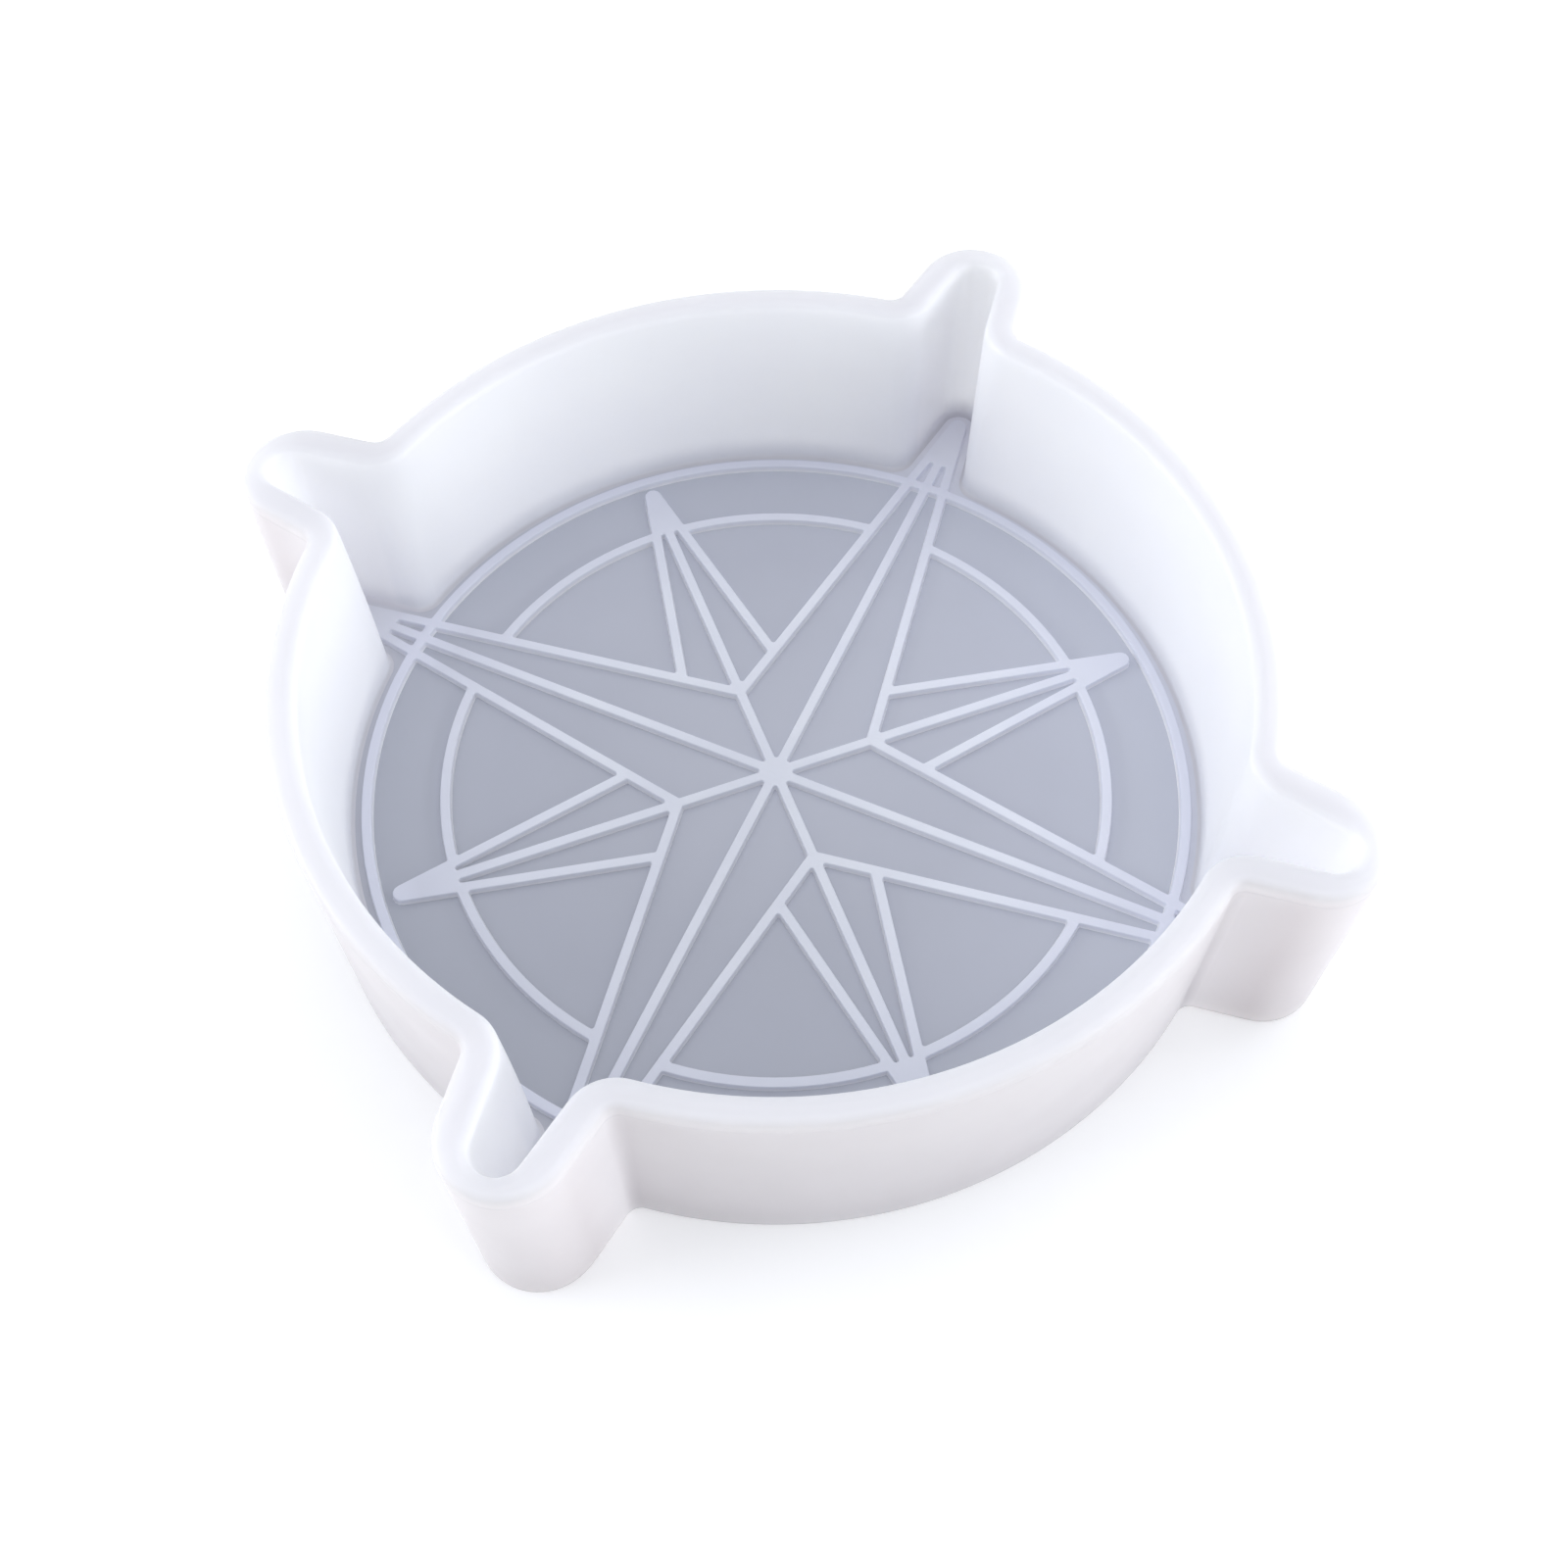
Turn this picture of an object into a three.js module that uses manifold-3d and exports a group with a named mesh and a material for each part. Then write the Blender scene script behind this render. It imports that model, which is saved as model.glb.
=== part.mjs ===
// Silicone casting mould for a compass rose. The real mould is one flexible casting; here its wall, its floor
// and the raised lines on the floor are separate solids that meet face to face.
// Millimetres, +Z up. The origin is the centre of the underside; +X and +Y run along two of the four pockets.
import * as THREE from 'three';
import { mergeVertices } from 'three/addons/utils/BufferGeometryUtils.js';
import Module from 'manifold-3d';

// Heights.
const FLOOR_THICKNESS = 4;
const CAVITY_DEPTH = 40.6;
const RIDGE_HEIGHT = 1.3;

// Round part of the cavity, and of the outside of the wall.
const CAVITY_RADIUS = 76.5;
const OUTER_RADIUS = 81.5;

// The pockets hold the long points of the star; the wall swells out round each pocket as a lobe.
const POCKET_REACH = 96;
const POCKET_TIP_RADIUS = 3.9;
const POCKET_MOUTH_RADIUS = 3.7;
const LOBE_REACH = 100;
const LOBE_TIP_RADIUS = 10;
const LOBE_ROOT_RADIUS = 2.6;

// Compass rose: apexes and radii belong to the centrelines of its ridges, and a reach is the end of a rounded
// tip.
const RIDGE_WIDTH = 1.9;
const OUTER_RING_RADIUS = 73.5;
const INNER_RING_RADIUS = 59.5;
const LONG_POINT_APEX = 96.7;
const LONG_POINT_REACH = 93.2;
const SHORT_POINT_APEX = 73.3;
const SHORT_POINT_REACH = 71;
const VALLEY_RADIUS = 18.6;
// Where a short point's edges start, as a share of the long point's edge from valley to apex.
const SHORT_POINT_START = 0.132;

// Smoothness: an arc of an outline has twice ARC_STEPS chords, and a ring has RING_STEPS chords.
const ARC_STEPS = 7;
const RING_STEPS = 48;

// How far a cutting solid runs past the faces that it cuts.
const CUT_MARGIN = 1;
const MERGE_DISTANCE = 1e-4;

const QUARTERS = 4;
const QUARTER_TURN = Math.PI / 2;
const HALF_WIDTH = RIDGE_WIDTH / 2;

function polar(radius, angle) {
  return new THREE.Vector2(radius * Math.cos(angle), radius * Math.sin(angle));
}

// Centrelines of the ridges between +X, which a long point follows, and the diagonal, which a short one
// follows.
const centre = new THREE.Vector2();
const longApex = new THREE.Vector2(LONG_POINT_APEX, 0);
const valley = polar(VALLEY_RADIUS, QUARTER_TURN / 2);
const shortApex = polar(SHORT_POINT_APEX, QUARTER_TURN / 2);
const shortStart = valley.clone().lerp(longApex, SHORT_POINT_START);
const longHalfAngle = Math.PI - longApex.clone().sub(valley).negate().angle();
const shortHalfAngle = shortApex.clone().sub(shortStart).angle() - QUARTER_TURN / 2;

// Centre of the fillet between the circle and a pocket's upper side, touching both from outside. The side
// runs at the slope of a long point's edge and is tangent to the pocket's round tip.
function filletCentre(radius, reach, tipRadius, filletRadius) {
  const along = polar(1, Math.PI - longHalfAngle);
  const outward = polar(1, QUARTER_TURN - longHalfAngle);
  const start = new THREE.Vector2(reach - tipRadius, 0).addScaledVector(outward, tipRadius + filletRadius);
  const toClosest = -start.dot(along);
  const closestSq = start.lengthSq() - toClosest ** 2;
  return start.addScaledVector(along, toClosest - Math.sqrt((radius + filletRadius) ** 2 - closestSq));
}

// Anticlockwise outline of a circle with four tapering, round-tipped pockets.
function vesselOutline(radius, reach, tipRadius, filletRadius) {
  const outline = new THREE.Path();
  const fillet = filletCentre(radius, reach, tipRadius, filletRadius);
  const side = QUARTER_TURN - longHalfAngle;
  const root = fillet.angle();
  for (let k = 0; k < QUARTERS; k += 1) {
    const turn = k * QUARTER_TURN;
    const inward = turn + Math.PI;
    const before = polar(fillet.length(), turn - root);
    const tip = polar(reach - tipRadius, turn);
    const after = polar(fillet.length(), turn + root);
    outline.absarc(before.x, before.y, filletRadius, inward - root, inward - side, true);
    outline.absarc(tip.x, tip.y, tipRadius, turn - side, turn + side, false);
    outline.absarc(after.x, after.y, filletRadius, inward + side, inward + root, true);
    outline.absarc(0, 0, radius, turn + root, turn + QUARTER_TURN - root, false);
  }
  return outline.getPoints(ARC_STEPS);
}

function cavityOutline() {
  return vesselOutline(CAVITY_RADIUS, POCKET_REACH, POCKET_TIP_RADIUS, POCKET_MOUTH_RADIUS);
}

// Straight-sided solid on a closed outline, from the height "bottom" up.
function extrude(shape, bottom, depth) {
  const geometry = new THREE.ExtrudeGeometry(shape, { depth, bevelEnabled: false, curveSegments: ARC_STEPS });
  return geometry.translate(0, 0, bottom);
}

// Thin floor that closes the bottom of the cavity and its pockets.
function floorGeometry() {
  return extrude(new THREE.Shape(cavityOutline()), 0, FLOOR_THICKNESS);
}

// Full-height wall round the cavity.
function wallGeometry() {
  const wall = new THREE.Shape(vesselOutline(OUTER_RADIUS, LOBE_REACH, LOBE_TIP_RADIUS, LOBE_ROOT_RADIUS));
  wall.holes.push(new THREE.Path(cavityOutline()));
  return extrude(wall, 0, FLOOR_THICKNESS + CAVITY_DEPTH);
}

// Arc round the tip of a star point, tangent to the outer edges of the ridges on both of its sides.
function addTip(outline, apex, reach, halfAngle, turn) {
  const outerApex = apex + HALF_WIDTH / Math.sin(halfAngle);
  const radius = (outerApex - reach) * Math.sin(halfAngle) / (1 - Math.sin(halfAngle));
  const tip = polar(reach - radius, turn);
  const side = QUARTER_TURN - halfAngle;
  outline.absarc(tip.x, tip.y, radius, turn - side, turn + side, false);
}

// Corner where the outer edge of a long point meets the outer edge of the short point beside it.
function shoulder() {
  const longEdge = longApex.clone().sub(valley).normalize();
  const shortEdge = shortApex.clone().sub(shortStart).normalize();
  const onLong = new THREE.Vector2(-longEdge.y, longEdge.x).multiplyScalar(HALF_WIDTH).add(shortStart);
  const onShort = new THREE.Vector2(shortEdge.y, -shortEdge.x).multiplyScalar(HALF_WIDTH).add(shortStart);
  const along = onShort.sub(onLong).cross(shortEdge) / longEdge.cross(shortEdge);
  return onLong.addScaledVector(longEdge, along);
}

// Outline of the eight-pointed star, out to the outer edges of its ridges.
function starOutline() {
  const outline = new THREE.Shape();
  const corner = shoulder();
  for (let k = 0; k < QUARTERS; k += 1) {
    const turn = k * QUARTER_TURN;
    const before = polar(corner.length(), turn + corner.angle());
    const after = polar(corner.length(), turn + QUARTER_TURN - corner.angle());
    addTip(outline, LONG_POINT_APEX, LONG_POINT_REACH, longHalfAngle, turn);
    outline.lineTo(before.x, before.y);
    addTip(outline, SHORT_POINT_APEX, SHORT_POINT_REACH, shortHalfAngle, turn + QUARTER_TURN / 2);
    outline.lineTo(after.x, after.y);
  }
  return outline;
}

// Triangle drawn in by half a ridge on every side: the bare floor that three ridges enclose.
function windowShape(corners) {
  const inset = corners.map((corner, i) => {
    const toNext = corners[(i + 1) % 3].clone().sub(corner).normalize();
    const toLast = corners[(i + 2) % 3].clone().sub(corner).normalize();
    const sine = Math.sqrt((1 - toNext.dot(toLast)) / 2);
    return toNext.add(toLast).normalize().multiplyScalar(HALF_WIDTH / sine).add(corner);
  });
  return new THREE.Shape(inset);
}

// The centre ridges halve each long and each short point, which leaves sixteen windows in the star.
function starWindows() {
  const windows = [];
  for (const triangle of [[centre, longApex, valley], [valley, shortStart, shortApex]]) {
    const mirrored = triangle.map((corner) => new THREE.Vector2(corner.y, corner.x)).reverse();
    for (const half of [triangle, mirrored]) {
      for (let k = 0; k < QUARTERS; k += 1) {
        const corners = half.map((corner) => corner.clone().rotateAround(centre, k * QUARTER_TURN));
        windows.push(windowShape(corners));
      }
    }
  }
  return windows;
}

function circlePoints(radius) {
  const step = 2 * Math.PI / RING_STEPS;
  return Array.from({ length: RING_STEPS }, (_, i) => polar(radius, (i + 0.5) * step));
}

function ringShape(radius) {
  const ring = new THREE.Shape(circlePoints(radius + HALF_WIDTH));
  ring.holes.push(new THREE.Path(circlePoints(radius - HALF_WIDTH)));
  return ring;
}

const wasm = await Module();
wasm.setup();

function toSolid(geometry) {
  geometry.deleteAttribute('normal');
  geometry.deleteAttribute('uv');
  const merged = mergeVertices(geometry, MERGE_DISTANCE);
  return new wasm.Manifold(new wasm.Mesh({
    numProp: 3,
    vertProperties: new Float32Array(merged.attributes.position.array),
    triVerts: new Uint32Array(merged.index.array),
  }));
}

function toGeometry(solid) {
  const mesh = solid.getMesh();
  const geometry = new THREE.BufferGeometry();
  geometry.setAttribute('position', new THREE.BufferAttribute(mesh.vertProperties, 3));
  geometry.setIndex(new THREE.BufferAttribute(mesh.triVerts, 1));
  geometry.computeVertexNormals();
  return geometry;
}

// Raised lines on the floor. The outer ring runs on across the long points; the inner ring stops at the star.
function reliefGeometry() {
  const raise = (shape) => toSolid(extrude(shape, FLOOR_THICKNESS, RIDGE_HEIGHT));
  const cutter = (shape) => toSolid(
    extrude(shape, FLOOR_THICKNESS - CUT_MARGIN, RIDGE_HEIGHT + 2 * CUT_MARGIN),
  );
  let relief = raise(starOutline()).add(raise(ringShape(INNER_RING_RADIUS)));
  for (const shape of starWindows()) {
    relief = relief.subtract(cutter(shape));
  }
  return toGeometry(relief.add(raise(ringShape(OUTER_RING_RADIUS))));
}

function piece(name, geometry, colour, roughness) {
  const material = new THREE.MeshStandardMaterial({ color: colour, roughness, metalness: 0 });
  const mesh = new THREE.Mesh(geometry, material);
  mesh.name = name;
  return mesh;
}

const mould = new THREE.Group();
mould.add(piece('side_wall', wallGeometry(), 0xf2f3f7, 0.45));
mould.add(piece('cavity_floor', floorGeometry(), 0xb4b8c6, 0.2));
mould.add(piece('compass_relief', reliefGeometry(), 0xd6d9e6, 0.6));

export default mould;
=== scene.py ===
import math
from collections import namedtuple

import bpy
from mathutils import Matrix, Vector
from mathutils.geometry import tessellate_polygon


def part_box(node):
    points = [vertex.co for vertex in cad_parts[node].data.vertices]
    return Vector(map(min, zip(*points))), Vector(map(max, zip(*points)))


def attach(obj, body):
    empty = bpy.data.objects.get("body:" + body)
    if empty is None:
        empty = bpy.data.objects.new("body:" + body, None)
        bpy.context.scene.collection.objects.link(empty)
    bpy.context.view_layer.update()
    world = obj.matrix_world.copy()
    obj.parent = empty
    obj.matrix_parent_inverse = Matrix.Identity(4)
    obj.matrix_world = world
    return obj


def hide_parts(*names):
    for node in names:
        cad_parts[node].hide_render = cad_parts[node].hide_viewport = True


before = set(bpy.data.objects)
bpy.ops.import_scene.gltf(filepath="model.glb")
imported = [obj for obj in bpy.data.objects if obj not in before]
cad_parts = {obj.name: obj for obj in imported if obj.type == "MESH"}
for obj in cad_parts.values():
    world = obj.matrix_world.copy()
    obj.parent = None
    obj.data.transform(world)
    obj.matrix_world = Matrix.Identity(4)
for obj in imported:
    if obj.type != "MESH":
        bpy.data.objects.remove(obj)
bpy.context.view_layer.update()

# The shapes below are worked out in millimetres, and the meshes are made in metres.
MM = 0.001

# Heights and reaches that the CAD nodes give.
wall_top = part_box("side_wall")[1].z / MM
floor_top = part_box("cavity_floor")[1].z / MM
lobe_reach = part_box("side_wall")[1].x / MM
pocket_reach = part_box("cavity_floor")[1].x / MM
long_point_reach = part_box("compass_relief")[1].x / MM

QUARTERS = 4
QUARTER_TURN = math.pi / 2
FULL_TURN = math.pi * 2
CENTRE = Vector((0, 0))

# Round part of the outline, its reach along a pocket, the round tip there and the fillet where the two meet.
Vessel = namedtuple("Vessel", "radius reach tip_radius root_radius")
OUTSIDE = Vessel(81.5, lobe_reach, 10, 2.6)
CAVITY = Vessel(76.5, pocket_reach, 3.9, 3.7)
# The wall's corners beside the pockets are rounder at the rim than at the floor.
CORNER_RADIUS_AT_RIM = 8

# Compass rose, by the centrelines of its ridges.
RIDGE_WIDTH = 1.9
OUTER_RING_RADIUS = 73.5
INNER_RING_RADIUS = 59.5
LONG_POINT_APEX = 96.7
SHORT_POINT_APEX = 73.3
SHORT_POINT_REACH = 71
VALLEY_RADIUS = 18.6
SHORT_POINT_START = 0.132

# Rounded edges of the wall.
RIM_OUTER_ROUND = 1.5
RIM_INNER_ROUND = 2.0
BASE_ROUND = 0.6
FLOOR_FILLET = 0.8
ROUND_STEPS = 8

# Narrow strips beside rounded edges, which keep the shading of the flat faces even.
RIM_STRIP = 0.15
FLOOR_STRIP = 0.3

# Faces that meet at more than this keep a crisp edge.
SHARP_ANGLE = math.radians(50)

# Faint witness line that runs round the outside just under the rim. Its profile goes up across the line, in
# shares of the half-width and of the depth.
LINE_DROP = 2.5
LINE_HALF_WIDTH = 0.3
LINE_DEPTH = 0.1
LINE_PROFILE = [(-1, 0), (-0.5, 0.7), (0, 1), (0.5, 0.7), (1, 0)]

# Smoothness of the wall's outlines, in steps along each stretch.
TIP_STEPS = 28
ROOT_STEPS = 12
CIRCLE_STEPS = 40
HEIGHT_STEPS = 8

# Cross-section of a ridge: half its width, and the height above the floor.
RIDGE_HEIGHT = 1.3
RIDGE_SECTION = [
    (1.08, -0.1), (1.08, 0.0), (1.0, 0.1), (0.96, 0.5),
    (0.92, 0.95), (0.88, 1.15), (0.81, 1.26), (0.7, RIDGE_HEIGHT),
]
WIDEST = max(half_width for half_width, height in RIDGE_SECTION)
WINDOW_CORNER = 0.25
CORNER_STEPS = 6
RING_CHORD = 2.5

# Points of a contour that lie closer together than this are one point.
SAME_POINT = 0.0001

# The floor plate runs under the fillet, and stays this far from the wall.
FLOOR_GAP = 0.02


def polar(radius, angle):
    return Vector((radius * math.cos(angle), radius * math.sin(angle)))


def angle_of(vector):
    return math.atan2(vector.y, vector.x)


def arc(centre, radius, start, end, steps):
    """Points of an arc, both of its ends included."""
    return [centre + polar(radius, start + (end - start) * i / steps) for i in range(steps + 1)]


# ---------------------------------------------------------------- outlines of the wall

long_apex = Vector((LONG_POINT_APEX, 0))
valley = polar(VALLEY_RADIUS, QUARTER_TURN / 2)
short_apex = polar(SHORT_POINT_APEX, QUARTER_TURN / 2)
short_start = valley.lerp(long_apex, SHORT_POINT_START)
long_half_angle = math.pi - angle_of(valley - long_apex)
short_half_angle = angle_of(short_apex - short_start) - QUARTER_TURN / 2


def fillet_centre(vessel):
    """Centre of the fillet between the circle and a pocket's upper side.

    The side slopes as a long point's edge does.
    """
    along = polar(1, math.pi - long_half_angle)
    outward = polar(1, QUARTER_TURN - long_half_angle)
    tip_centre = Vector((vessel.reach - vessel.tip_radius, 0))
    start = tip_centre + outward * (vessel.tip_radius + vessel.root_radius)
    to_closest = -start.dot(along)
    closest_squared = start.length_squared - to_closest ** 2
    back = math.sqrt((vessel.radius + vessel.root_radius) ** 2 - closest_squared)
    return start + along * (to_closest - back)


def vessel_outline(vessel, offset):
    """Anticlockwise outline, moved outward by offset. Every offset gives the same number of points."""
    fillet = fillet_centre(vessel)
    root = angle_of(fillet)
    side = QUARTER_TURN - long_half_angle
    root_radius = vessel.root_radius - offset
    points = []
    for k in range(QUARTERS):
        turn = k * QUARTER_TURN
        inward = turn + math.pi
        before = polar(fillet.length, turn - root)
        after = polar(fillet.length, turn + root)
        tip = polar(vessel.reach - vessel.tip_radius, turn)
        circle_end = turn + QUARTER_TURN - root
        points += arc(before, root_radius, inward - root, inward - side, ROOT_STEPS)
        points += arc(tip, vessel.tip_radius + offset, turn - side, turn + side, TIP_STEPS)
        points += arc(after, root_radius, inward + side, inward + root, ROOT_STEPS)
        points += arc(CENTRE, vessel.radius + offset, turn + root, circle_end, CIRCLE_STEPS)[1:-1]
    return points


def quarter_round(radius):
    """How far a rounded edge has come in, and how far it still has to go up, from the side to the flat."""
    turns = [QUARTER_TURN * i / ROUND_STEPS for i in range(ROUND_STEPS + 1)]
    return [(radius * (1 - math.cos(t)), radius * (1 - math.sin(t))) for t in turns]


def cavity_at(height):
    """The cavity's outline at a height, with its corners beside the pockets opening up towards the rim."""
    rise = max(0.0, (height - floor_top) / (wall_top - RIM_INNER_ROUND - floor_top))
    opening = CORNER_RADIUS_AT_RIM - CAVITY.root_radius
    return CAVITY._replace(root_radius=CAVITY.root_radius + opening * min(1.0, rise) ** 2)


def wall_sections():
    """The wall's cross-section as (vessel, offset, height), once round from the underside's inner edge."""
    return [*underside_sections(), *outer_sections(), *rim_sections(), *inner_sections()]


def underside_sections():
    edge = [(OUTSIDE, -inward, rise) for inward, rise in reversed(quarter_round(BASE_ROUND))]
    return [(CAVITY, 0.0, 0.0), (OUTSIDE, -2 * BASE_ROUND, 0.0), *edge]


def outer_sections():
    """Up the outside and across the witness line."""
    line_height = wall_top - LINE_DROP
    below_line = line_height - 2 * LINE_HALF_WIDTH - BASE_ROUND
    sections = []
    for i in range(1, HEIGHT_STEPS):
        sections.append((OUTSIDE, 0.0, BASE_ROUND + below_line * i / (HEIGHT_STEPS - 1)))
    for across, depth in LINE_PROFILE:
        sections.append((OUTSIDE, -LINE_DEPTH * depth, line_height + LINE_HALF_WIDTH * across))
    return sections


def rim_sections():
    """Over the rim, from the outside to the cavity."""
    at_rim = cavity_at(wall_top)
    outer = [(OUTSIDE, -inward, wall_top - fall) for inward, fall in quarter_round(RIM_OUTER_ROUND)]
    outer.append((OUTSIDE, -RIM_OUTER_ROUND - RIM_STRIP, wall_top))
    inner = [(at_rim, RIM_INNER_ROUND + RIM_STRIP, wall_top)]
    inner += [(at_rim, inward, wall_top - fall) for inward, fall in reversed(quarter_round(RIM_INNER_ROUND))]
    return outer + inner


def inner_sections():
    """Down the inside and over the fillet to the floor plate."""
    toe = floor_top + FLOOR_GAP
    top = wall_top - RIM_INNER_ROUND
    drop = top - toe - FLOOR_FILLET
    heights = [top - drop * i / HEIGHT_STEPS for i in range(1, HEIGHT_STEPS)]
    sections = [(cavity_at(height), 0.0, height) for height in heights]
    sections += [(CAVITY, -inward, toe + fall) for inward, fall in quarter_round(FLOOR_FILLET)]
    return [*sections, (CAVITY, 0.0, toe)]


# ---------------------------------------------------------------- outlines of the ridges

# A contour is a loop of arcs with straight runs between them. With half a ridge's width given as w, an arc's
# radius is radius + grow * w, so that one contour serves every height of the ridges' cross-section.
Arc = namedtuple("Arc", "centre radius grow start end")
Line = namedtuple("Line", "point direction")
Circle = namedtuple("Circle", "radius side")
INSIDE_OF = -1
OUTSIDE_OF = 1


def line(start, end):
    return Line(start, (end - start).normalized())


def right_of(direction):
    return Vector((direction.y, -direction.x))


def meet(side_a, side_b, hint):
    """Where two sides of a bare cell cross once both are moved into the cell, nearest to hint."""
    inset = WIDEST + WINDOW_CORNER
    if isinstance(side_a, Circle):
        side_a, side_b = side_b, side_a
    start = side_a.point - right_of(side_a.direction) * inset
    if isinstance(side_b, Line):
        other = side_b.point - right_of(side_b.direction) * inset
        along = (other - start).cross(side_b.direction) / side_a.direction.cross(side_b.direction)
        return start + side_a.direction * along
    radius = side_b.radius + side_b.side * inset
    closest = -start.dot(side_a.direction)
    half_chord = math.sqrt(radius ** 2 - (start + side_a.direction * closest).length_squared)
    crossings = [start + side_a.direction * (closest + sign * half_chord) for sign in (-1, 1)]
    return min(crossings, key=lambda point: (point - hint).length)


def meet_circle(side, radius):
    """Where a line from an apex towards the centre comes to a ring."""
    closest = -side.point.dot(side.direction)
    half_chord = math.sqrt(radius ** 2 - (side.point + side.direction * closest).length_squared)
    return side.point + side.direction * (closest - half_chord)


def outward_angle(side, point):
    """Direction from the cell out through one of its sides, at a point on the moved side."""
    if isinstance(side, Line):
        return angle_of(right_of(side.direction))
    return angle_of(point if side.side == INSIDE_OF else -point)


def corner_arc(corner, side, next_side):
    """Round corner of a bare cell, anticlockwise from one of its sides to the next."""
    start = outward_angle(side, corner)
    sweep = (outward_angle(next_side, corner) - start) % FULL_TURN
    return Arc(corner, WINDOW_CORNER + WIDEST, -1, start, start + sweep)


def ring_arc(circle, start, end):
    """The stretch of a ring's edge between two corners. It turns clockwise on the outside of the ring."""
    sweep = (end - start + math.pi) % FULL_TURN - math.pi
    return Arc(CENTRE, circle.radius, circle.side, start, start + sweep)


def tip_arc(apex, reach, half_angle, turn, sweep_sign):
    """Round end of a star point, which the bare floor runs round on the outside."""
    outer_apex = apex + RIDGE_WIDTH / 2 / math.sin(half_angle)
    radius = (outer_apex - reach) * math.sin(half_angle) / (1 - math.sin(half_angle))
    side = (QUARTER_TURN - half_angle) * sweep_sign
    return Arc(polar(reach - radius, turn), radius - RIDGE_WIDTH / 2, 1, turn - side, turn + side)


def cell_contour(sides, hints):
    """Contour of a bare cell from its sides in anticlockwise order.

    The point hints[i] is near where side i and the next one meet.
    """
    count = len(sides)
    corners = [meet(sides[i], sides[(i + 1) % count], hints[i]) for i in range(count)]
    contour = []
    for i, corner in enumerate(corners):
        last = corners[i - 1]
        if isinstance(sides[i], Circle):
            contour.append(ring_arc(sides[i], angle_of(last), angle_of(corner)))
        contour.append(corner_arc(corner, sides[i], sides[(i + 1) % count]))
    return contour


def turned(contour, angle):
    return [
        a._replace(
            centre=polar(a.centre.length, angle_of(a.centre) + angle),
            start=a.start + angle,
            end=a.end + angle,
        )
        for a in contour
    ]


def mirrored(contour):
    """The same contour on the other side of the diagonal, still anticlockwise."""
    return [
        a._replace(
            centre=Vector((a.centre.y, a.centre.x)),
            start=QUARTER_TURN - a.end,
            end=QUARTER_TURN - a.start,
        )
        for a in reversed(contour)
    ]


def contour_points(contour, half_width):
    """Points along a contour for a ridge of that half-width. The width doesn't change how many there are."""
    points = []
    for a in contour:
        steps = max(CORNER_STEPS, round(abs(a.end - a.start) * a.radius / RING_CHORD))
        for point in arc(a.centre, a.radius + a.grow * half_width, a.start, a.end, steps):
            if not points or (point - points[-1]).length > SAME_POINT:
                points.append(point)
    if (points[0] - points[-1]).length <= SAME_POINT:
        points.pop()
    return points


def half_cells():
    """Bare cells between +X and the diagonal that have a mirror image across the diagonal."""
    outer_in = Circle(OUTER_RING_RADIUS, INSIDE_OF)
    outer_out = Circle(OUTER_RING_RADIUS, OUTSIDE_OF)
    inner_in = Circle(INNER_RING_RADIUS, INSIDE_OF)
    axis = line(CENTRE, long_apex)
    long_edge = line(long_apex, valley)
    short_edge = line(short_apex, short_start)
    ring_on_axis = polar(OUTER_RING_RADIUS, 0)
    ring_on_edge = meet_circle(long_edge, OUTER_RING_RADIUS)
    inner_on_long = meet_circle(long_edge, INNER_RING_RADIUS)
    inner_on_short = meet_circle(short_edge, INNER_RING_RADIUS)
    return [
        cell_contour(
            [axis, outer_in, long_edge, line(valley, CENTRE)],
            [ring_on_axis, ring_on_edge, valley, CENTRE],
        ),
        cell_contour(
            [axis, long_edge, outer_out],
            [long_apex, ring_on_edge, ring_on_axis],
        ),
        cell_contour(
            [line(valley, short_start), line(short_start, short_apex), line(short_apex, valley)],
            [short_start, short_apex, valley],
        ),
        cell_contour(
            [line(short_start, long_apex), inner_in, short_edge],
            [inner_on_long, inner_on_short, short_start],
        ),
    ]


def between_rings():
    """The bare cell between the two rings, from one long point to the next.

    A short point reaches into it from the inner ring.
    """
    short_edge = line(short_apex, short_start)
    inner_ring = Circle(INNER_RING_RADIUS, OUTSIDE_OF)
    long_edge = line(valley, long_apex)
    outer_ring = Circle(OUTER_RING_RADIUS, INSIDE_OF)
    inner_on_short = meet_circle(short_edge, INNER_RING_RADIUS)
    inner_on_long = meet_circle(line(long_apex, valley), INNER_RING_RADIUS)
    outer_on_long = meet_circle(line(long_apex, valley), OUTER_RING_RADIUS)
    at_short = meet(short_edge, inner_ring, inner_on_short)
    at_long = meet(inner_ring, long_edge, inner_on_long)
    at_outer = meet(long_edge, outer_ring, outer_on_long)
    lower = [
        corner_arc(at_short, short_edge, inner_ring),
        ring_arc(inner_ring, angle_of(at_short), angle_of(at_long)),
        corner_arc(at_long, inner_ring, long_edge),
        corner_arc(at_outer, long_edge, outer_ring),
    ]
    outer = ring_arc(outer_ring, angle_of(at_outer), QUARTER_TURN - angle_of(at_outer))
    tip = tip_arc(SHORT_POINT_APEX, SHORT_POINT_REACH, short_half_angle, QUARTER_TURN / 2, -1)
    return [*lower, outer, *mirrored(lower), tip]


def relief_windows():
    cells = half_cells()
    quadrant = [*cells, *(mirrored(cell) for cell in cells), between_rings()]
    return [turned(cell, k * QUARTER_TURN) for k in range(QUARTERS) for cell in quadrant]


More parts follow.
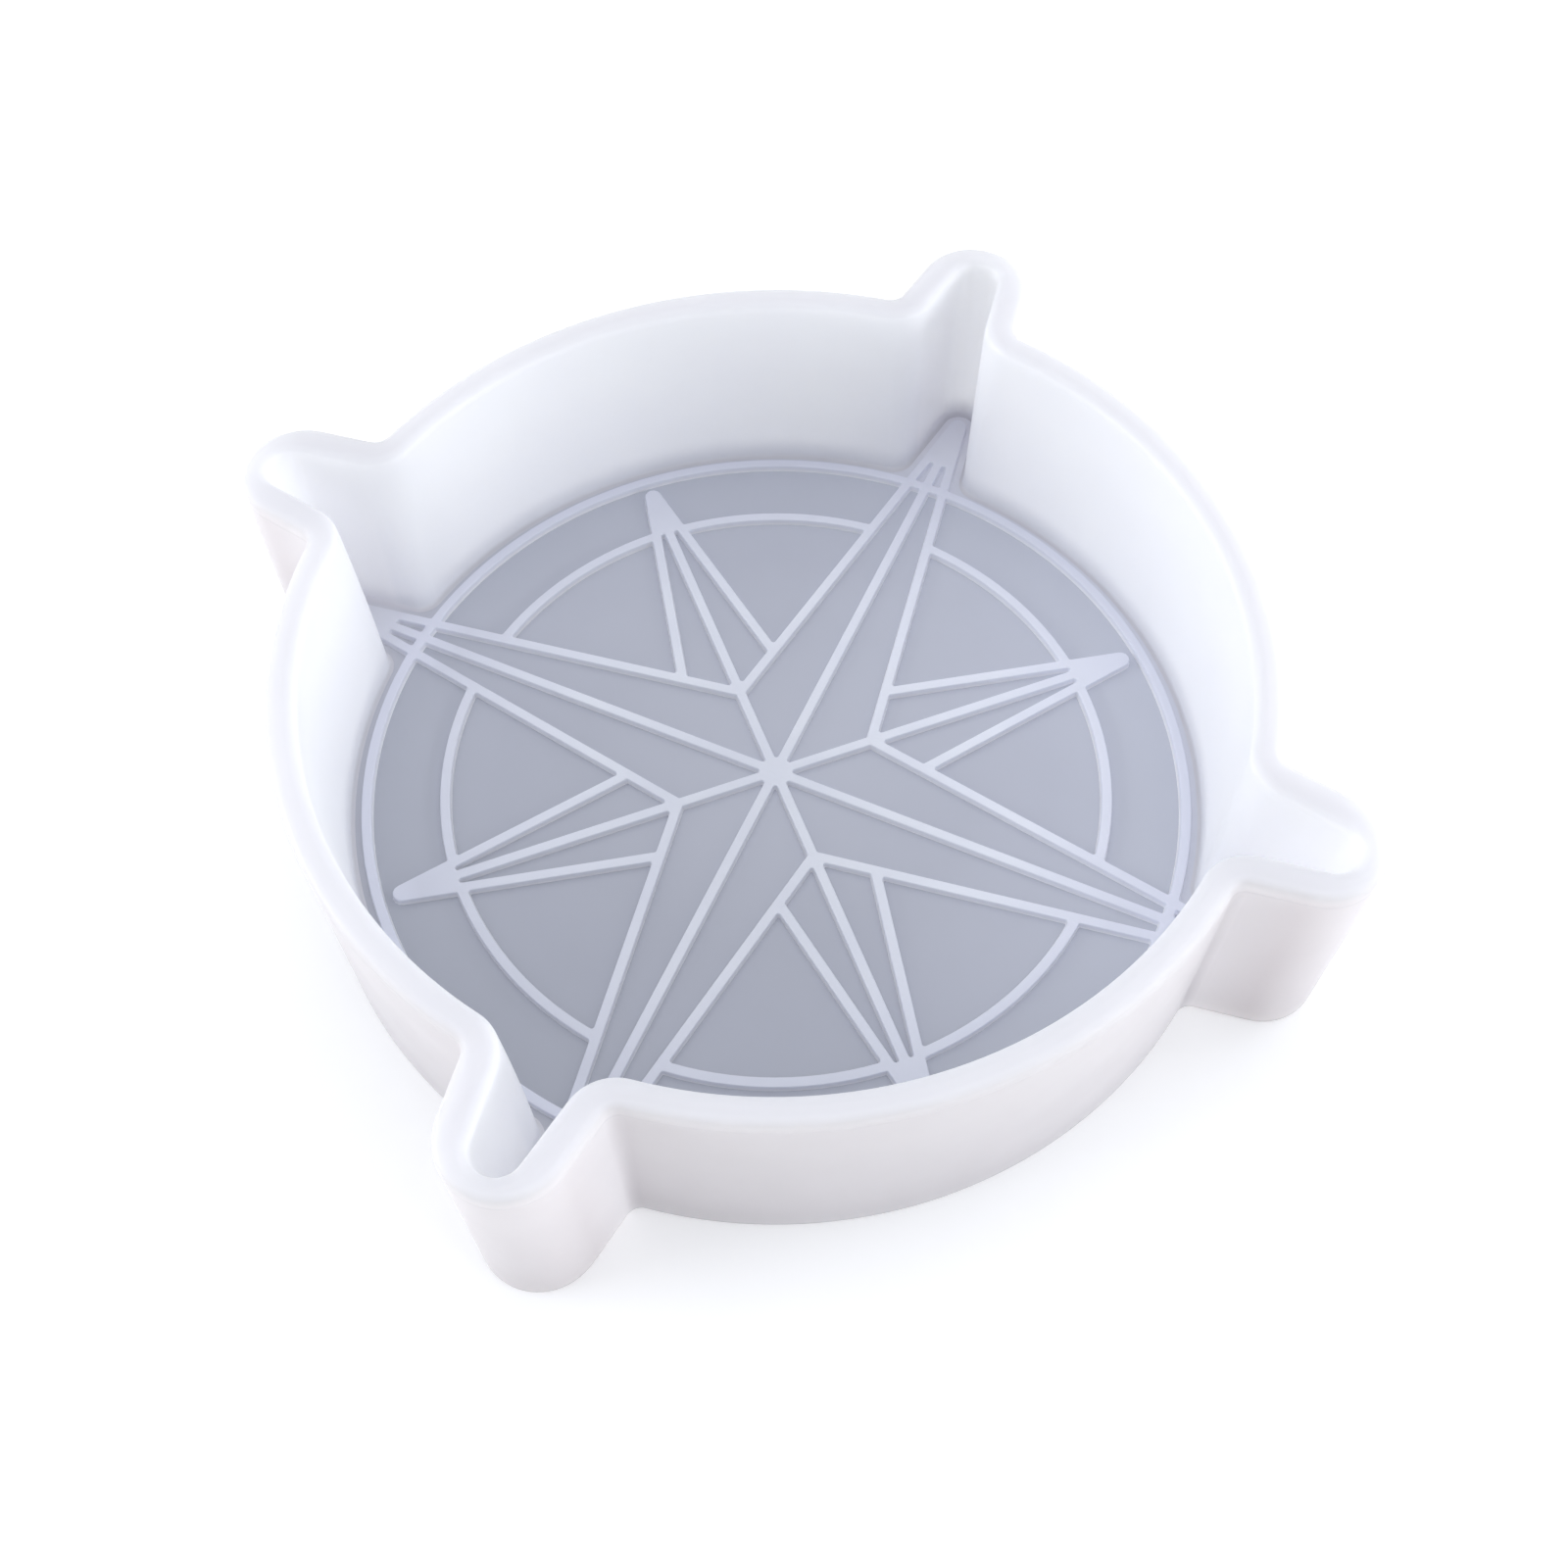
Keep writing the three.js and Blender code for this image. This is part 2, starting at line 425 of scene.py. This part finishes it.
def relief_outline():
    """Outer boundary of the relief, anticlockwise: the outer ring with the long points' tips beyond it."""
    edge = line(valley, long_apex)
    circle = Circle(OUTER_RING_RADIUS, OUTSIDE_OF)
    corner = meet(edge, circle, meet_circle(line(long_apex, valley), OUTER_RING_RADIUS))
    rounding = corner_arc(corner, circle, edge)
    below = Vector((corner.x, -corner.y))
    before = rounding._replace(centre=below, start=-rounding.start, end=-rounding.end)
    tip = tip_arc(LONG_POINT_APEX, long_point_reach, long_half_angle, 0, 1)
    after = rounding._replace(start=rounding.end, end=rounding.start)
    ring = Arc(CENTRE, OUTER_RING_RADIUS, 1, angle_of(corner), QUARTER_TURN - angle_of(corner))
    return [a for k in range(QUARTERS) for a in turned([before, tip, after, ring], k * QUARTER_TURN)]


# ---------------------------------------------------------------- meshes

def make_piece(name, points, faces, materials):
    """A smooth-shaded mesh object from points in millimetres."""
    mesh = bpy.data.meshes.new(name)
    mesh.from_pydata([(x * MM, y * MM, z * MM) for x, y, z in points], [], faces)
    mesh.validate()
    mesh.polygons.foreach_set("use_smooth", [True] * len(mesh.polygons))
    mesh.set_sharp_from_angle(angle=SHARP_ANGLE)
    for material in materials:
        mesh.materials.append(material)
    piece = bpy.data.objects.new(name, mesh)
    bpy.context.scene.collection.objects.link(piece)
    weighted = piece.modifiers.new("face_weighted_normals", "WEIGHTED_NORMAL")
    weighted.weight = 100
    weighted.keep_sharp = True
    return piece


def loft_faces(count, loops, closed, first=0):
    """Quads between loops of count points each, starting at vertex first."""
    faces = []
    for j in range(loops if closed else loops - 1):
        low = first + j * count
        high = first + ((j + 1) % loops) * count
        for i in range(count):
            after = (i + 1) % count
            faces.append((low + i, low + after, high + after, high + i))
    return faces


def filled(outlines, first, flip):
    """Triangles over a flat region, from vertex first on. The outlines after the first one are its holes."""
    triangles = tessellate_polygon([[(p.x, p.y, 0) for p in outline] for outline in outlines])
    flat = [p for outline in outlines for p in outline]
    faces = []
    for a, b, c in triangles:
        up = (flat[b] - flat[a]).cross(flat[c] - flat[a]) > 0
        faces.append(tuple(first + i for i in ((a, b, c) if up != flip else (a, c, b))))
    return faces


def wall_piece():
    sections = wall_sections()
    points = []
    for vessel, offset, height in sections:
        points += [(p.x, p.y, height) for p in vessel_outline(vessel, offset)]
    count = len(points) // len(sections)
    faces = loft_faces(count, len(sections), True)
    piece = make_piece("side_wall_skin", points, faces, wall_materials())
    for j, (vessel, _, _) in enumerate(sections):
        for polygon in piece.data.polygons[j * count:(j + 1) * count]:
            polygon.material_index = 0 if vessel == OUTSIDE else 1
    return piece


def floor_piece():
    """Polished plate that fills the wall's outline up to the fillet."""
    edge = vessel_outline(CAVITY, -FLOOR_GAP)
    inner = vessel_outline(CAVITY, -FLOOR_STRIP)
    loops = [(inner, 0.0), (edge, 0.0), (edge, floor_top), (inner, floor_top)]
    points = [(p.x, p.y, height) for outline, height in loops for p in outline]
    count = len(edge)
    faces = loft_faces(count, len(loops), False)
    faces += filled([inner], 0, True)
    faces += filled([inner], 3 * count, False)
    return make_piece("cavity_floor_plate", points, faces, [polished_silicone()])


def relief_piece():
    """The ridges: one skin from the bare cells' edges up their sides and across the tops."""
    contours = [relief_outline(), *relief_windows()]
    points = []
    faces = []
    bottoms = []
    tops = []
    for index, contour in enumerate(contours):
        first = len(points)
        for half_width, height in RIDGE_SECTION:
            loop = contour_points(contour, half_width)
            points += [(p.x, p.y, floor_top + height) for p in loop]
        count = (len(points) - first) // len(RIDGE_SECTION)
        rising = loft_faces(count, len(RIDGE_SECTION), False, first)
        faces += rising if index == 0 else [tuple(reversed(face)) for face in rising]
        bottoms.append(list(range(first, first + count)))
        tops.append(list(range(len(points) - count, len(points))))
    for rings, flip in ((bottoms, True), (tops, False)):
        outlines = [[Vector(points[i][:2]) for i in ring] for ring in rings]
        vertex = [i for ring in rings for i in ring]
        faces += [tuple(vertex[i] for i in face) for face in filled(outlines, 0, flip)]
    return make_piece("compass_relief_ridges", points, faces, [frosted_silicone()])


# ---------------------------------------------------------------- nodes that the materials share

def new_material(name, base_color, **constants):
    """A Principled material with its constants set on the shader's own sockets."""
    material = bpy.data.materials.new(name)
    material.use_nodes = True
    shader = material.node_tree.nodes["Principled BSDF"]
    shader.inputs["Base Color"].default_value = (*base_color, 1)
    for socket, value in constants.items():
        shader.inputs[socket.replace("_", " ")].default_value = value
    return material, material.node_tree, shader


def object_coordinates(tree):
    return tree.nodes.new("ShaderNodeTexCoord").outputs["Object"]


def noise(tree, coordinates, feature_mm, detail=2):
    """Noise with features of about that size."""
    node = tree.nodes.new("ShaderNodeTexNoise")
    node.inputs["Scale"].default_value = 1 / (feature_mm * MM)
    node.inputs["Detail"].default_value = detail
    tree.links.new(coordinates, node.inputs["Vector"])
    return node.outputs["Fac"]


def cloud_colour(tree, clouds, colour_a, colour_b):
    """Soft clouds of two colours."""
    node = tree.nodes.new("ShaderNodeValToRGB")
    tree.links.new(clouds, node.inputs["Fac"])
    for element, position, colour in zip(node.color_ramp.elements, CLOUD_SPREAD, (colour_a, colour_b)):
        element.position = position
        element.color = (*colour, 1)
    return node.outputs["Color"]


def cloud_value(tree, clouds, low, high):
    """Value that wanders between low and high with soft clouds."""
    return map_range(tree, clouds, CLOUD_SPREAD, low, high)


def mix(tree, factor, colour_a, colour_b):
    """Colour a where factor is 0 and colour b where it is 1; each is a colour or the output of a node."""
    node = tree.nodes.new("ShaderNodeMix")
    node.data_type = "RGBA"
    tree.links.new(factor, node.inputs["Factor"])
    for socket, colour in (("A", colour_a), ("B", colour_b)):
        target = [s for s in node.inputs if s.name == socket and s.type == "RGBA"][0]
        if isinstance(colour, tuple):
            target.default_value = (*colour, 1)
        else:
            tree.links.new(colour, target)
    return [s for s in node.outputs if s.type == "RGBA"][0]


def map_range(tree, value, span, new_low, new_high):
    """Goes from new_low to new_high as value crosses the span."""
    node = tree.nodes.new("ShaderNodeMapRange")
    tree.links.new(value, node.inputs["Value"])
    numbers = {"From Min": span[0], "From Max": span[1], "To Min": new_low, "To Max": new_high}
    for socket, number in numbers.items():
        node.inputs[socket].default_value = number
    return node.outputs["Result"]


def by_height(tree, coordinates, span_mm, new_low, new_high):
    """Value that changes over a span of heights above the base."""
    node = tree.nodes.new("ShaderNodeSeparateXYZ")
    tree.links.new(coordinates, node.inputs["Vector"])
    return map_range(tree, node.outputs["Z"], [end * MM for end in span_mm], new_low, new_high)


def by_radius(tree, coordinates, span_mm, new_low, new_high):
    """Value that changes over a span of distances from the axis."""
    flat = tree.nodes.new("ShaderNodeVectorMath")
    flat.operation = "MULTIPLY"
    flat.inputs[1].default_value = (1, 1, 0)
    tree.links.new(coordinates, flat.inputs[0])
    length = tree.nodes.new("ShaderNodeVectorMath")
    length.operation = "LENGTH"
    tree.links.new(flat.outputs["Vector"], length.inputs[0])
    return map_range(tree, length.outputs["Value"], [end * MM for end in span_mm], new_low, new_high)


def facing_up(tree, span):
    """0 up to where the surface faces up by the low end of the span, 1 from where it does by the high end."""
    normal = tree.nodes.new("ShaderNodeTexCoord").outputs["Normal"]
    node = tree.nodes.new("ShaderNodeSeparateXYZ")
    tree.links.new(normal, node.inputs["Vector"])
    return map_range(tree, node.outputs["Z"], span, 0, 1)


def painted_shade_across(tree, coordinates, colour, bearing, low):
    """Painted shade: the colour, darker by degrees, down to low, away from the side of the mould at that
    bearing.
    """
    along = tree.nodes.new("ShaderNodeVectorMath")
    along.operation = "DOT_PRODUCT"
    along.inputs[1].default_value = (*polar(1, math.radians(bearing)), 0)
    tree.links.new(coordinates, along.inputs[0])
    clear = map_range(tree, along.outputs["Value"], [end * MM for end in PAINTED_SHADE_SPAN], low, 1)
    return mix(tree, clear, BLACK, colour)


def specks(tree, coordinates, spacing_mm, radius_mm, share):
    """1 on sparse dots of dust and 0 elsewhere; share is the share of cells that hold one."""
    node = tree.nodes.new("ShaderNodeTexVoronoi")
    node.inputs["Scale"].default_value = 1 / (spacing_mm * MM)
    tree.links.new(coordinates, node.inputs["Vector"])
    edge = radius_mm / spacing_mm
    dot = map_range(tree, node.outputs["Distance"], (edge, edge * SPECK_CORE), 0, 1)
    split = tree.nodes.new("ShaderNodeSeparateColor")
    tree.links.new(node.outputs["Color"], split.inputs["Color"])
    chosen = tree.nodes.new("ShaderNodeMath")
    chosen.operation = "LESS_THAN"
    chosen.inputs[1].default_value = share
    tree.links.new(split.outputs["Red"], chosen.inputs[0])
    both = tree.nodes.new("ShaderNodeMath")
    both.operation = "MULTIPLY"
    tree.links.new(dot, both.inputs[0])
    tree.links.new(chosen.outputs["Value"], both.inputs[1])
    return both.outputs["Value"]


def add_bump(tree, shader, height, depth_mm, strength):
    node = tree.nodes.new("ShaderNodeBump")
    node.inputs["Distance"].default_value = depth_mm * MM
    node.inputs["Strength"].default_value = strength
    tree.links.new(height, node.inputs["Height"])
    tree.links.new(node.outputs["Normal"], shader.inputs["Normal"])


# ---------------------------------------------------------------- materials

SILICONE_IOR = 1.41
BLACK = (0, 0, 0)

# How deep light scatters in the wall, and over what height scattering sets in above the fillet's thin toe.
SCATTER_DEPTH = 13
SCATTER_RISE = 5

# Share of the noise's range that a cloud's two ends lie at, and share of a speck's radius that is solid.
CLOUD_SPREAD = (0.3, 0.7)
SPECK_CORE = 0.6

# Painted light and shade: the tones below make the silicone lighter or darker by place, standing in for light
# that passes through it and for shade.
# The spans below, in millimetres, are where a tone changes into the next one: distances from the axis, or
# heights above the base.
# Wall: painted shade low down, and painted light in the crevice beside each lobe and on the lobes.
WALL_BASE_SPAN = (0, 34)
WALL_CREVICE_SPAN = (81.6, 83)
WALL_LOBE_SPAN = (84, 91)
# Floor: painted light in the middle, towards the outer ring, in the strip by the wall and out in the pockets.
FLOOR_MIDDLE_SPAN = (0, 35)
FLOOR_OUTER_SPAN = (50, OUTER_RING_RADIUS)
FLOOR_EDGE_SPAN = (OUTER_RING_RADIUS, 74.8)
FLOOR_POCKET_SPAN = (76, 83)
# Ridges: painted shade towards the outer ring, less painted shade across the mould on the ring itself, and
# painted light out in the pockets and down their sides.
RIDGE_OUTER_SPAN = (40, 70)
RIDGE_RING_SPAN = (66, 72.5)
RIDGE_POCKET_SPAN = (74, 84)
RIDGE_SIDE_SPAN = (floor_top, floor_top + RIDGE_HEIGHT)

# Painted shade across the mould on the floor and the ridges: the bearing of the side where it is lightest,
# and the darkest share.
PAINTED_SHADE_SPAN = (-75, 75)
FLOOR_PAINTED_SHADE = (72, 0.67)
RIDGE_PAINTED_SHADE = (62, 0.75)

# How far up the wall's surface faces where it turns into the edge's tone, and where it is flat rim. The
# edge's tone is painted shade over the rounded edges, and the rim's tone is painted darker than the inside's
# where the flat top faces the light.
EDGE_FACING = (0.0, 0.7)
FLAT_FACING = 0.995
RIM_TONE = (0.705, 0.695, 0.725)

# The wall's tones are painted light and shade: the inside is painted lighter than the outside; base is
# painted shade low down; crevice and lobe are lighter, painted light; edge is painted shade over the rounded
# edges.
Tones = namedtuple("Tones", "face base crevice lobe lobe_base edge")
OUTER_TONES = Tones(
    face=(0.66, 0.632, 0.64),
    base=(0.555, 0.532, 0.548),
    crevice=(0.765, 0.732, 0.738),
    lobe=(0.715, 0.674, 0.68),
    lobe_base=(0.60, 0.565, 0.573),
    edge=(0.65, 0.63, 0.64),
)
INNER_TONES = Tones(
    face=(0.935, 0.93, 0.955),
    base=(0.875, 0.883, 0.915),
    crevice=(0.935, 0.93, 0.955),
    lobe=(0.965, 0.957, 0.973),
    lobe_base=(0.95, 0.945, 0.965),
    edge=(0.84, 0.835, 0.86),
)


def milky_silicone(name, tones, rim_from, solid_below):
    """Milky satin silicone of one face of the wall, in tones of painted light and shade, which turns into the
    rim's tone over the rounded edge.

    Light scatters through it, but not in the thin toe of the fillet, below the height solid_below.
    """
    material, tree, shader = new_material(
        name, tones.face, IOR=SILICONE_IOR,
        Subsurface_Radius=(1.0, 0.98, 0.95),
        Subsurface_Scale=SCATTER_DEPTH * MM,
    )
    coordinates = object_coordinates(tree)
    depth = by_height(tree, coordinates, (solid_below, solid_below + SCATTER_RISE), 0, 1)
    tree.links.new(depth, shader.inputs["Subsurface Weight"])
    # Painted shade low down, painted light in the crevice and on the lobe, painted shade over the rounded
    # edge, and the rim's painted tone on the flat top.
    low_down = by_height(tree, coordinates, WALL_BASE_SPAN, 1, 0)
    face = mix(tree, low_down, tones.face, tones.base)
    lobe = mix(tree, low_down, tones.lobe, tones.lobe_base)
    creviced = mix(tree, by_radius(tree, coordinates, WALL_CREVICE_SPAN, 0, 1), face, tones.crevice)
    lobed = mix(tree, by_radius(tree, coordinates, WALL_LOBE_SPAN, 0, 1), creviced, lobe)
    edged = mix(tree, facing_up(tree, EDGE_FACING), lobed, tones.edge)
    rimmed = mix(tree, facing_up(tree, (rim_from, FLAT_FACING)), edged, RIM_TONE)
    clouds = cloud_colour(tree, noise(tree, coordinates, 28), (0.97, 0.97, 0.97), (1.0, 1.0, 1.0))
    clouded = mix(tree, clouds, BLACK, rimmed)
    dust = specks(tree, coordinates, spacing_mm=24, radius_mm=0.22, share=0.05)
    tree.links.new(mix(tree, dust, clouded, (0.12, 0.11, 0.11)), shader.inputs["Base Color"])
    satin = cloud_value(tree, noise(tree, coordinates, 12), 0.37, 0.49)
    tree.links.new(satin, shader.inputs["Roughness"])
    add_bump(tree, shader, noise(tree, coordinates, 1.2), depth_mm=0.012, strength=0.4)
    return material


def wall_materials():
    """Outside first. Only the inside has a fillet with a thin toe."""
    return [
        # The inside's tones are painted lighter than the outside's.
        milky_silicone("milky_outside", OUTER_TONES, rim_from=0.6, solid_below=-5),
        milky_silicone("milky_inside", INNER_TONES, rim_from=0.5, solid_below=floor_top + FLOOR_FILLET / 2),
    ]


def polished_silicone():
    """Smooth, clearer silicone of the bare floor: greyer than the wall, with painted light in the middle,
    towards the edge and out in the pockets.
    """
    material, tree, shader = new_material("polished_silicone", (0.43, 0.46, 0.54), IOR=SILICONE_IOR)
    coordinates = object_coordinates(tree)
    clouds = noise(tree, coordinates, 55, detail=1)
    clouded = cloud_colour(tree, clouds, (0.55, 0.566, 0.645), (0.587, 0.603, 0.682))
    # Painted light: lighter in the middle, towards the outer ring, in the strip by the wall and out in the
    # pockets.
    middle = by_radius(tree, coordinates, FLOOR_MIDDLE_SPAN, 1, 0)
    centred = mix(tree, middle, clouded, (0.64, 0.656, 0.74))
    outer = by_radius(tree, coordinates, FLOOR_OUTER_SPAN, 0, 1)
    paler = mix(tree, outer, centred, (0.61, 0.63, 0.703))
    edge = by_radius(tree, coordinates, FLOOR_EDGE_SPAN, 0, 1)
    edged = mix(tree, edge, paler, (0.755, 0.765, 0.83))
    in_pocket = by_radius(tree, coordinates, FLOOR_POCKET_SPAN, 0, 1)
    pocketed = mix(tree, in_pocket, edged, (0.90, 0.90, 0.94))
    # Painted shade across the floor.
    shaded_across = painted_shade_across(tree, coordinates, pocketed, *FLOOR_PAINTED_SHADE)
    dust = specks(tree, coordinates, spacing_mm=20, radius_mm=0.3, share=0.06)
    tree.links.new(mix(tree, dust, shaded_across, (0.08, 0.08, 0.09)), shader.inputs["Base Color"])
    gloss = cloud_value(tree, noise(tree, coordinates, 18), 0.14, 0.24)
    tree.links.new(gloss, shader.inputs["Roughness"])
    add_bump(tree, shader, noise(tree, coordinates, 9, detail=1), depth_mm=0.015, strength=0.5)
    return material


def frosted_silicone():
    """Matt, fine-grained silicone of the raised lines, with painted light down their sides and out in the
    pockets, and painted shade towards the outer ring.
    """
    material, tree, shader = new_material("frosted_silicone", (0.62, 0.64, 0.76), IOR=SILICONE_IOR)
    coordinates = object_coordinates(tree)
    clouded = cloud_colour(tree, noise(tree, coordinates, 14), (0.86, 0.88, 0.97), (0.91, 0.93, 1.0))
    # Painted shade towards the outer ring and across the mould, painted light down the sides and out in the
    # pockets.
    outer = by_radius(tree, coordinates, RIDGE_OUTER_SPAN, 0, 1)
    outward = mix(tree, outer, clouded, (0.81, 0.825, 0.92))
    side = by_height(tree, coordinates, RIDGE_SIDE_SPAN, 0.9, 0)
    sided = mix(tree, side, outward, (0.98, 0.98, 1.0))
    # Painted shade across the ridges, also on their tone out in the pockets.
    shaded_across = painted_shade_across(tree, coordinates, sided, *RIDGE_PAINTED_SHADE)
    on_ring = by_radius(tree, coordinates, RIDGE_RING_SPAN, 0, 0.55)
    ringed = mix(tree, on_ring, shaded_across, sided)
    pocket_tone = painted_shade_across(tree, coordinates, (0.90, 0.91, 0.96), *RIDGE_PAINTED_SHADE)
    in_pocket = by_radius(tree, coordinates, RIDGE_POCKET_SPAN, 0, 0.9)
    tree.links.new(mix(tree, in_pocket, ringed, pocket_tone), shader.inputs["Base Color"])
    frost = cloud_value(tree, noise(tree, coordinates, 3), 0.5, 0.62)
    tree.links.new(frost, shader.inputs["Roughness"])
    add_bump(tree, shader, noise(tree, coordinates, 0.5), depth_mm=0.015, strength=0.5)
    return material


def stage_material():
    material, _, _ = new_material(
        "stage_white", (0.95, 0.95, 0.95), Roughness=0.9,
        Emission_Color=(1, 1, 1, 1), Emission_Strength=0.16,
    )
    return material


# ---------------------------------------------------------------- camera, light and stage

# Angles are in degrees; the distance and the point aimed at are in millimetres.
CAMERA_AZIMUTH = 24.73
CAMERA_ELEVATION = 58.66
CAMERA_ROLL = -0.57
CAMERA_DISTANCE = 313.5
CAMERA_LENS = 39.37
CAMERA_SHIFT_X = 0.0054
CAMERA_AIM = Vector((-0.06, -0.03, 0.78))

WORLD_STRENGTH = 0.4
LIGHT_COLOUR = (0.93, 0.955, 1.0)

# The overhead light is a sun as wide as a large soft ceiling, a little behind the object.
OVERHEAD_STRENGTH = 1.3
OVERHEAD_WIDTH = 90
OVERHEAD_BEARING = 180
OVERHEAD_ELEVATION = 80

# Bearings are measured from the camera's own, anticlockwise seen from above. Lengths are in metres.
Softbox = namedtuple("Softbox", "name bearing elevation distance width height watts")
SOFTBOXES = [
    Softbox("softbox_right", 62, 15, 1.4, 0.9, 0.5, 8.0),
    Softbox("softbox_far_right", 118, 15, 1.4, 0.9, 0.5, 5.5),
    Softbox("softbox_left", -87, 15, 1.4, 0.9, 0.6, 10.2),
]

STAGE_WIDTH = 8

# Light reaches the bottom of the narrow pockets only after many bounces.
DIFFUSE_BOUNCES = 16
MAX_BOUNCES = 24


def add_camera():
    azimuth = math.radians(CAMERA_AZIMUTH)
    elevation = math.radians(CAMERA_ELEVATION)
    level = math.cos(elevation)
    back = Vector((math.sin(azimuth) * level, -math.cos(azimuth) * level, math.sin(elevation)))
    camera = bpy.data.objects.new("camera", bpy.data.cameras.new("camera"))
    bpy.context.scene.collection.objects.link(camera)
    camera.location = (CAMERA_AIM + back * CAMERA_DISTANCE) * MM
    upright = (-back).to_track_quat("-Z", "Y").to_matrix().to_4x4()
    roll = Matrix.Rotation(math.radians(CAMERA_ROLL), 4, "Z")
    camera.matrix_world = Matrix.Translation(camera.location) @ upright @ roll
    camera.data.lens = CAMERA_LENS
    camera.data.shift_x = CAMERA_SHIFT_X
    camera.data.clip_start = 0.01
    bpy.context.scene.camera = camera


def toward(bearing, elevation):
    """Direction from the object."""
    azimuth = math.radians(CAMERA_AZIMUTH - 90 + bearing)
    level = math.cos(math.radians(elevation))
    return Vector((math.cos(azimuth) * level, math.sin(azimuth) * level, math.sin(math.radians(elevation))))


def add_lamp(name, kind, strength, direction):
    """A lamp that shines on the object from that direction."""
    lamp = bpy.data.lights.new(name, kind)
    lamp.energy = strength
    lamp.color = LIGHT_COLOUR
    light = bpy.data.objects.new(name, lamp)
    light.rotation_mode = "QUATERNION"
    light.rotation_quaternion = (-direction).to_track_quat("-Z", "Y")
    bpy.context.scene.collection.objects.link(light)
    return light


def add_softbox(softbox):
    direction = toward(softbox.bearing, softbox.elevation)
    light = add_lamp(softbox.name, "AREA", softbox.watts, direction)
    light.location = direction * softbox.distance
    light.data.shape = "RECTANGLE"
    light.data.size = softbox.width
    light.data.size_y = softbox.height


def add_light():
    world = bpy.data.worlds.new("studio")
    world.use_nodes = True
    background = world.node_tree.nodes["Background"]
    background.inputs["Color"].default_value = (*LIGHT_COLOUR, 1)
    background.inputs["Strength"].default_value = WORLD_STRENGTH
    bpy.context.scene.world = world
    for softbox in SOFTBOXES:
        add_softbox(softbox)
    overhead = add_lamp("overhead", "SUN", OVERHEAD_STRENGTH, toward(OVERHEAD_BEARING, OVERHEAD_ELEVATION))
    overhead.data.angle = math.radians(OVERHEAD_WIDTH)
    bpy.context.scene.view_settings.view_transform = "Standard"
    bpy.context.scene.cycles.diffuse_bounces = DIFFUSE_BOUNCES
    bpy.context.scene.cycles.max_bounces = MAX_BOUNCES


def add_stage():
    bpy.ops.mesh.primitive_plane_add(size=STAGE_WIDTH)
    floor = bpy.context.object
    floor.name = "stage_floor"
    floor.data.materials.append(stage_material())


# ---------------------------------------------------------------- the scene

add_camera()
add_light()
add_stage()

pieces = [
    (wall_piece(), "side_wall", "wall"),
    (floor_piece(), "cavity_floor", "floor"),
    (relief_piece(), "compass_relief", "relief"),
]
for piece, node, slot in pieces:
    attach(piece, "root")
    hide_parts(node)
